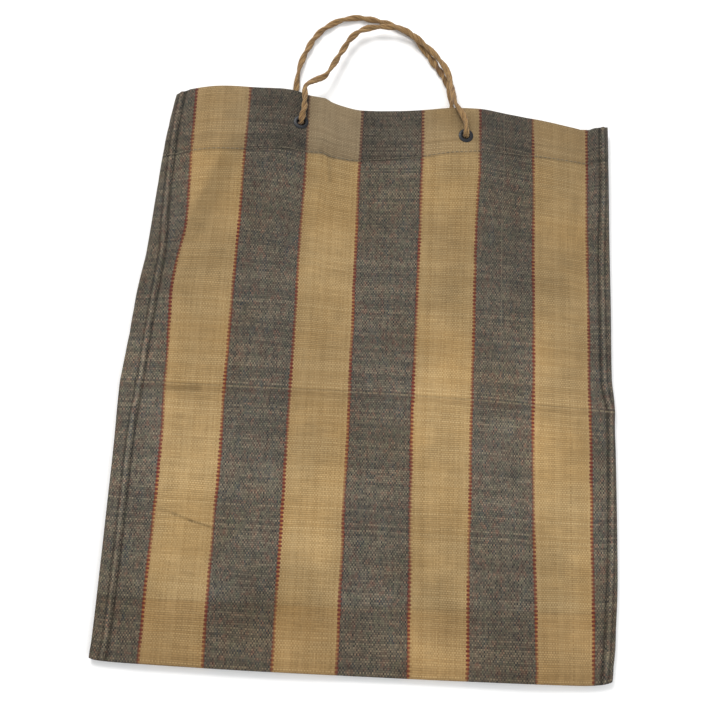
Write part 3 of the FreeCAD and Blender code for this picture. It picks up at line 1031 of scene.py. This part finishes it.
back_rows = steps(0, 1, 0.016) + steps(1, 2, 0.014)[1:] + [2 + turn for turn in FOLD_TURN]
back = grid("back_cloth", steps(0, 1, BACK_COLUMN), back_rows, back_row, eyelet_hole("back"))
nodes = ["back_panel_lower", "back_panel_upper"]
finish_cloth(back, nodes, CLOTH_BACK)
BEND_PAST_CREASE = 8 * MM
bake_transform(back)

# ---- hem facings, inside the mouth
HEM_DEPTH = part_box("front_hem_facing")[1][1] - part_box("front_hem_facing")[0][1]
HEM_INSET = 16 * MM
HEM_SHARES = steps(0.04, 0.96, BACK_COLUMN)


def front_facing(across, down):
    y_top = row_height(across, 1, CREASE_LINE, TOP_EDGE)
    x = across - HALF_WIDTH
    # Its edge is eased down where the back handle stands up beside it.
    eased = 4.5 * MM * max(hump(x, EYELETS["back", side].x, 14 * MM) for side in SIDES)
    y = y_top - down - eased * (1 - down / HEM_DEPTH)
    place = front_point(across, y)
    place.z -= 2 * FOLD_RADIUS
    return place, (across, MOUTH - BOTTOM + down), FAR


def back_facing(share_across, down):
    x = (share_across - 0.5) * CLOTH_WIDTH
    y_top = through(TOP_EDGE, x) - BACK_MOUTH_INSET
    place = back_point(share_across, y_top - down)
    place.z += 2 * FOLD_RADIUS
    return place, (share_across * CLOTH_WIDTH, MOUTH - BOTTOM + down), FAR


hem_columns = steps(HEM_INSET, CLOTH_WIDTH - HEM_INSET, FRONT_PITCH)
hem_rows = steps(0, HEM_DEPTH, FRONT_PITCH)
facing = grid("front_hem_inside", hem_columns, hem_rows, front_facing, eyelet_hole("front"))
finish_cloth(facing, ["front_hem_facing"], CLOTH_IN)
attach(facing, "front_upper")
facing = grid("back_hem_inside", HEM_SHARES, hem_rows, back_facing, eyelet_hole("back"))
finish_cloth(facing, ["back_hem_facing"], CLOTH_IN)
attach(facing, "upper")

# ---- gussets
TUCK = 45 * MM
GUSSET_ROW = 3 * MM
GUSSET_LOW, GUSSET_FOLD, GUSSET_HIGH = 1.0 * MM, 2.5 * MM, 3.8 * MM


def side_gusset(sign):
    """The strip folded in at one side. share runs from the front cloth's edge, in to the fold
    and out to the back."""

    def point(share, y):
        front_edge = front_point(0 if sign < 0 else CLOTH_WIDTH, y)
        back_edge = back_point(0 if sign < 0 else 1, y)
        inner = (left_edge(y) if sign < 0 else right_edge(y)) - sign * TUCK
        k = abs(1 - 2 * share)
        edge = front_edge if share < 0.5 else back_edge
        x = inner + (edge.x - inner) * k
        # Just inside the panels' own edges.
        level = front_edge.z - 0.5 * MM if share < 0.5 else BACK_EDGE_LEVEL + 0.3 * MM
        z = GUSSET_FOLD + (level - GUSSET_FOLD) * k
        away = share * 2 * TUCK
        return Vector((x, y, z)), (away if sign < 0 else CLOTH_WIDTH - away, y - BOTTOM), FAR

    return point


GUSSET_SHARES = [i / 30 for i in range(31)]
for side, sign in (("left", -1), ("right", 1)):
    gusset_point = side_gusset(sign)
    x_edge = sign * (HALF_WIDTH - 4 * MM)
    low_y = through(BOTTOM_EDGE, x_edge) + 1.5 * MM
    high_y = through(TOP_EDGE, x_edge) - 1.5 * MM
    parting = CREASE + BEND_PAST_CREASE
    strip = grid(f"side_gusset_lower_{side}", GUSSET_SHARES, steps(low_y, parting, GUSSET_ROW), gusset_point)
    finish_cloth(strip, [f"{side}_gusset_lower"], CLOTH_IN)
    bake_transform(strip)
    strip = grid(f"side_gusset_upper_{side}", GUSSET_SHARES, steps(parting, high_y, GUSSET_ROW), gusset_point)
    nodes = [f"{side}_gusset_back", f"{side}_gusset_front"]
    finish_cloth(strip, nodes, CLOTH_IN)
    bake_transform(strip)


def bottom_gusset(across_share, share):
    """The strip folded in at the bottom, narrower at its inner fold so that it clears the side gussets."""
    k = abs(1 - 2 * share)
    half_inner = HALF_WIDTH - TUCK - 2 * MM
    x_edge = (across_share - 0.5) * (CLOTH_WIDTH - 14 * MM)
    x_inner = (across_share - 0.5) * 2 * half_inner
    x = x_inner + (x_edge - x_inner) * k**3
    y_edge = through(BOTTOM_EDGE, x) + 0.6 * MM
    y = y_edge + TUCK * (1 - k)
    front_z = front_level(x, y_edge) - 0.6 * MM
    z = front_z + (1.4 * MM - front_z) * share
    return Vector((x, y, z)), (across_share * CLOTH_WIDTH, share * 2 * TUCK), FAR


strip = grid("bottom_gusset_cloth", steps(0, 1, 0.012), GUSSET_SHARES, bottom_gusset)
finish_cloth(strip, ["bottom_gusset"], CLOTH_IN)
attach(strip, "lower")


# ---- eyelets and washers
def lathe(name, outline, centre, facing, sides=64):
    """A turned ring. The outline is a closed list of (radius, height) in millimetres."""
    vertices = []
    count = len(outline)
    for i in range(sides):
        angle = 2 * pi * i / sides
        for radius, height in outline:
            x = radius * cos(angle)
            y = radius * sin(angle) * facing
            vertices.append(centre + Vector((x, y, height * facing)) * MM)
    faces = []
    for i in range(sides):
        j = (i + 1) % sides
        for k in range(count):
            m = (k + 1) % count
            faces.append((i * count + k, j * count + k, j * count + m, i * count + m))
    obj = mesh_object(name, vertices, faces)
    obj.data.materials.append(ENAMEL)
    return obj


def rounded(points, bend, pieces=5):
    """Rounds the corners of a closed outline with short arcs."""
    result = []
    count = len(points)
    for i, corner in enumerate(points):
        corner = Vector(corner)
        for neighbour, order in ((points[i - 1], 1), (points[(i + 1) % count], -1)):
            run = Vector(neighbour) - corner
            reach = min(bend, run.length * 0.45)
            edge = corner + run.normalized() * reach
            if order == 1:
                first = edge
            else:
                for k in range(pieces + 1):
                    t = k / pieces
                    result.append(first * (1 - t) ** 2 + corner * 2 * t * (1 - t) + edge * t**2)
    return result


GRIP = 2.8  # depth of cloth held between flange and washer, in millimetres
EYELET_OUTLINE = rounded(
    [
        (3.1, -GRIP - 0.25), (4.6, -GRIP - 0.25), (4.6, -GRIP - 0.02), (3.9, -GRIP + 0.1), (3.9, 0.02),
        (6.5, 0.02), (6.35, 0.45), (4.9, 0.85), (3.6, 0.8), (3.1, 0.3),
    ],
    0.45,
)
WASHER_OUTLINE = rounded([(3.95, -GRIP), (6.5, -GRIP), (6.4, -2.25), (5.2, -2.0), (3.95, -2.05)], 0.3)
for (layer, side), centre in EYELETS.items():
    facing = 1 if layer == "front" else -1
    low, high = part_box(f"{layer}_{side}_eyelet")
    flange_at = high[2] - 0.8 * MM if facing > 0 else low[2] + 0.8 * MM
    base = Vector((centre.x, centre.y, flange_at))
    body = "front_upper" if layer == "front" else "upper"
    for kind, outline in (("eyelet", EYELET_OUTLINE), ("washer", WASHER_OUTLINE)):
        ring = lathe(f"{layer}_{side}_{kind}_ring", outline, base, facing)
        stand_for([f"{layer}_{side}_{kind}"])
        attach(ring, body)


# ---- stitching
STITCH = 3.0 * MM
STITCH_GAP = 1.1 * MM
STITCH_STEP = 0.5 * MM
TRACK_STEP = 3 * MM
THREAD_SIDES = 6


def stitches(name, track, nodes, facing=1):
    """A row of separate stitches along a track: each dips into the cloth at both ends."""
    vertices, faces, uvs = [], [], []
    line = [Vector(point) for point in track]
    along = 0.0
    place = 0.0
    marks = []
    for a, b in zip(line, line[1:]):
        run = (b - a).length
        while place <= along + run:
            marks.append(a + (b - a) * ((place - along) / run))
            place += STITCH_STEP
        along += run
    span = round(STITCH / STITCH_STEP)
    gap = round(STITCH_GAP / STITCH_STEP)
    for begin in range(0, len(marks) - span, span + gap):
        part = marks[begin : begin + span + 1]
        first = len(vertices)
        for i, (point, ahead, across, up) in enumerate(frames(part)):
            bow = sin(pi * i / span)
            lift = Vector((0, 0, facing * (CLOTH / 2 + 0.22 * MM * bow - 0.1 * MM)))
            radius = 0.26 * MM * (0.55 + 0.45 * bow**0.5)
            for k in range(THREAD_SIDES):
                angle = 2 * pi * k / THREAD_SIDES
                vertices.append(point + lift + ring_place(across, up, angle) * radius)
                uvs.append((k / THREAD_SIDES, i * STITCH_STEP))
        close_tube(faces, first, span + 1, THREAD_SIDES)
    obj = mesh_object(name, vertices, faces, uvs)
    obj.data.materials.append(THREAD)
    stand_for(nodes)
    return obj


def hem_track():
    points = []
    for across in steps(HEM_INSET, CLOTH_WIDTH - HEM_INSET, TRACK_STEP):
        share = ((hem_line(across / MM) + 1.2) * MM - LOWER_LENGTH) / UPPER_LENGTH
        points.append(front_point(across, row_height(across, share, CREASE_LINE, TOP_EDGE)))
    return points


def side_track(side, low, high):
    track = []
    for y in steps(low, high, TRACK_STEP):
        past = seam_at(side, y) - 1.6 * MM
        track.append(front_point(FIRST_AT - past if side == "left" else LAST_AT + past, y))
    return track


hem = stitches("front_hem_stitches", hem_track(), ["front_hem_thread"])
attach(hem, "front_upper")
back_track = [back_point(share, MOUTH - HEM_DEPTH) for share in HEM_SHARES]
hem = stitches("back_hem_stitches", back_track, ["back_hem_thread"], facing=-1)
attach(hem, "upper")
for side in SIDES:
    track = side_track(side, BOTTOM + 6 * MM, CREASE - 2 * MM)
    row = stitches(f"{side}_seam_stitches_lower", track, [f"{side}_seam_thread_lower"])
    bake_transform(row)
    track = side_track(side, CREASE + 1 * MM, MOUTH - 6 * MM)
    row = stitches(f"{side}_seam_stitches_upper", track, [f"{side}_seam_thread_upper"])
    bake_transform(row)

# ---- floor and light
FLOOR_HALF = 4
FLOOR_LEVEL = -0.2 * MM
corners = [(-1, -1), (1, -1), (1, 1), (-1, 1)]
floor_places = [(x * FLOOR_HALF, y * FLOOR_HALF, FLOOR_LEVEL) for x, y in corners]
floor = mesh_object("floor", floor_places, [(0, 1, 2, 3)])
floor.data.materials.append(plain_floor())


def area_light(name, place, size, power, colour):
    light = new_object(name, bpy.data.lights.new(name, "AREA"))
    light.data.shape = "DISK"
    light.data.size = size
    light.data.energy = power
    light.data.color = colour
    light.location = place
    light.rotation_euler = (-Vector(place)).to_track_quat("-Z", "Y").to_euler()


KEY_POWER = 30
FILL_POWER = 12
WORLD_LIGHT = 0.75
area_light("key", (-0.7, 1.3, 1.5), 1.0, KEY_POWER, (1.0, 0.98, 0.95))
area_light("fill", (1.2, -0.9, 1.6), 1.6, FILL_POWER, (0.95, 0.98, 1.0))
world = bpy.data.worlds.new("studio")
bpy.context.scene.world = world
world.use_nodes = True
background = world.node_tree.nodes["Background"]
background.inputs["Color"].default_value = (1, 1, 1, 1)
background.inputs["Strength"].default_value = WORLD_LIGHT
bpy.context.scene.view_settings.view_transform = "Standard"
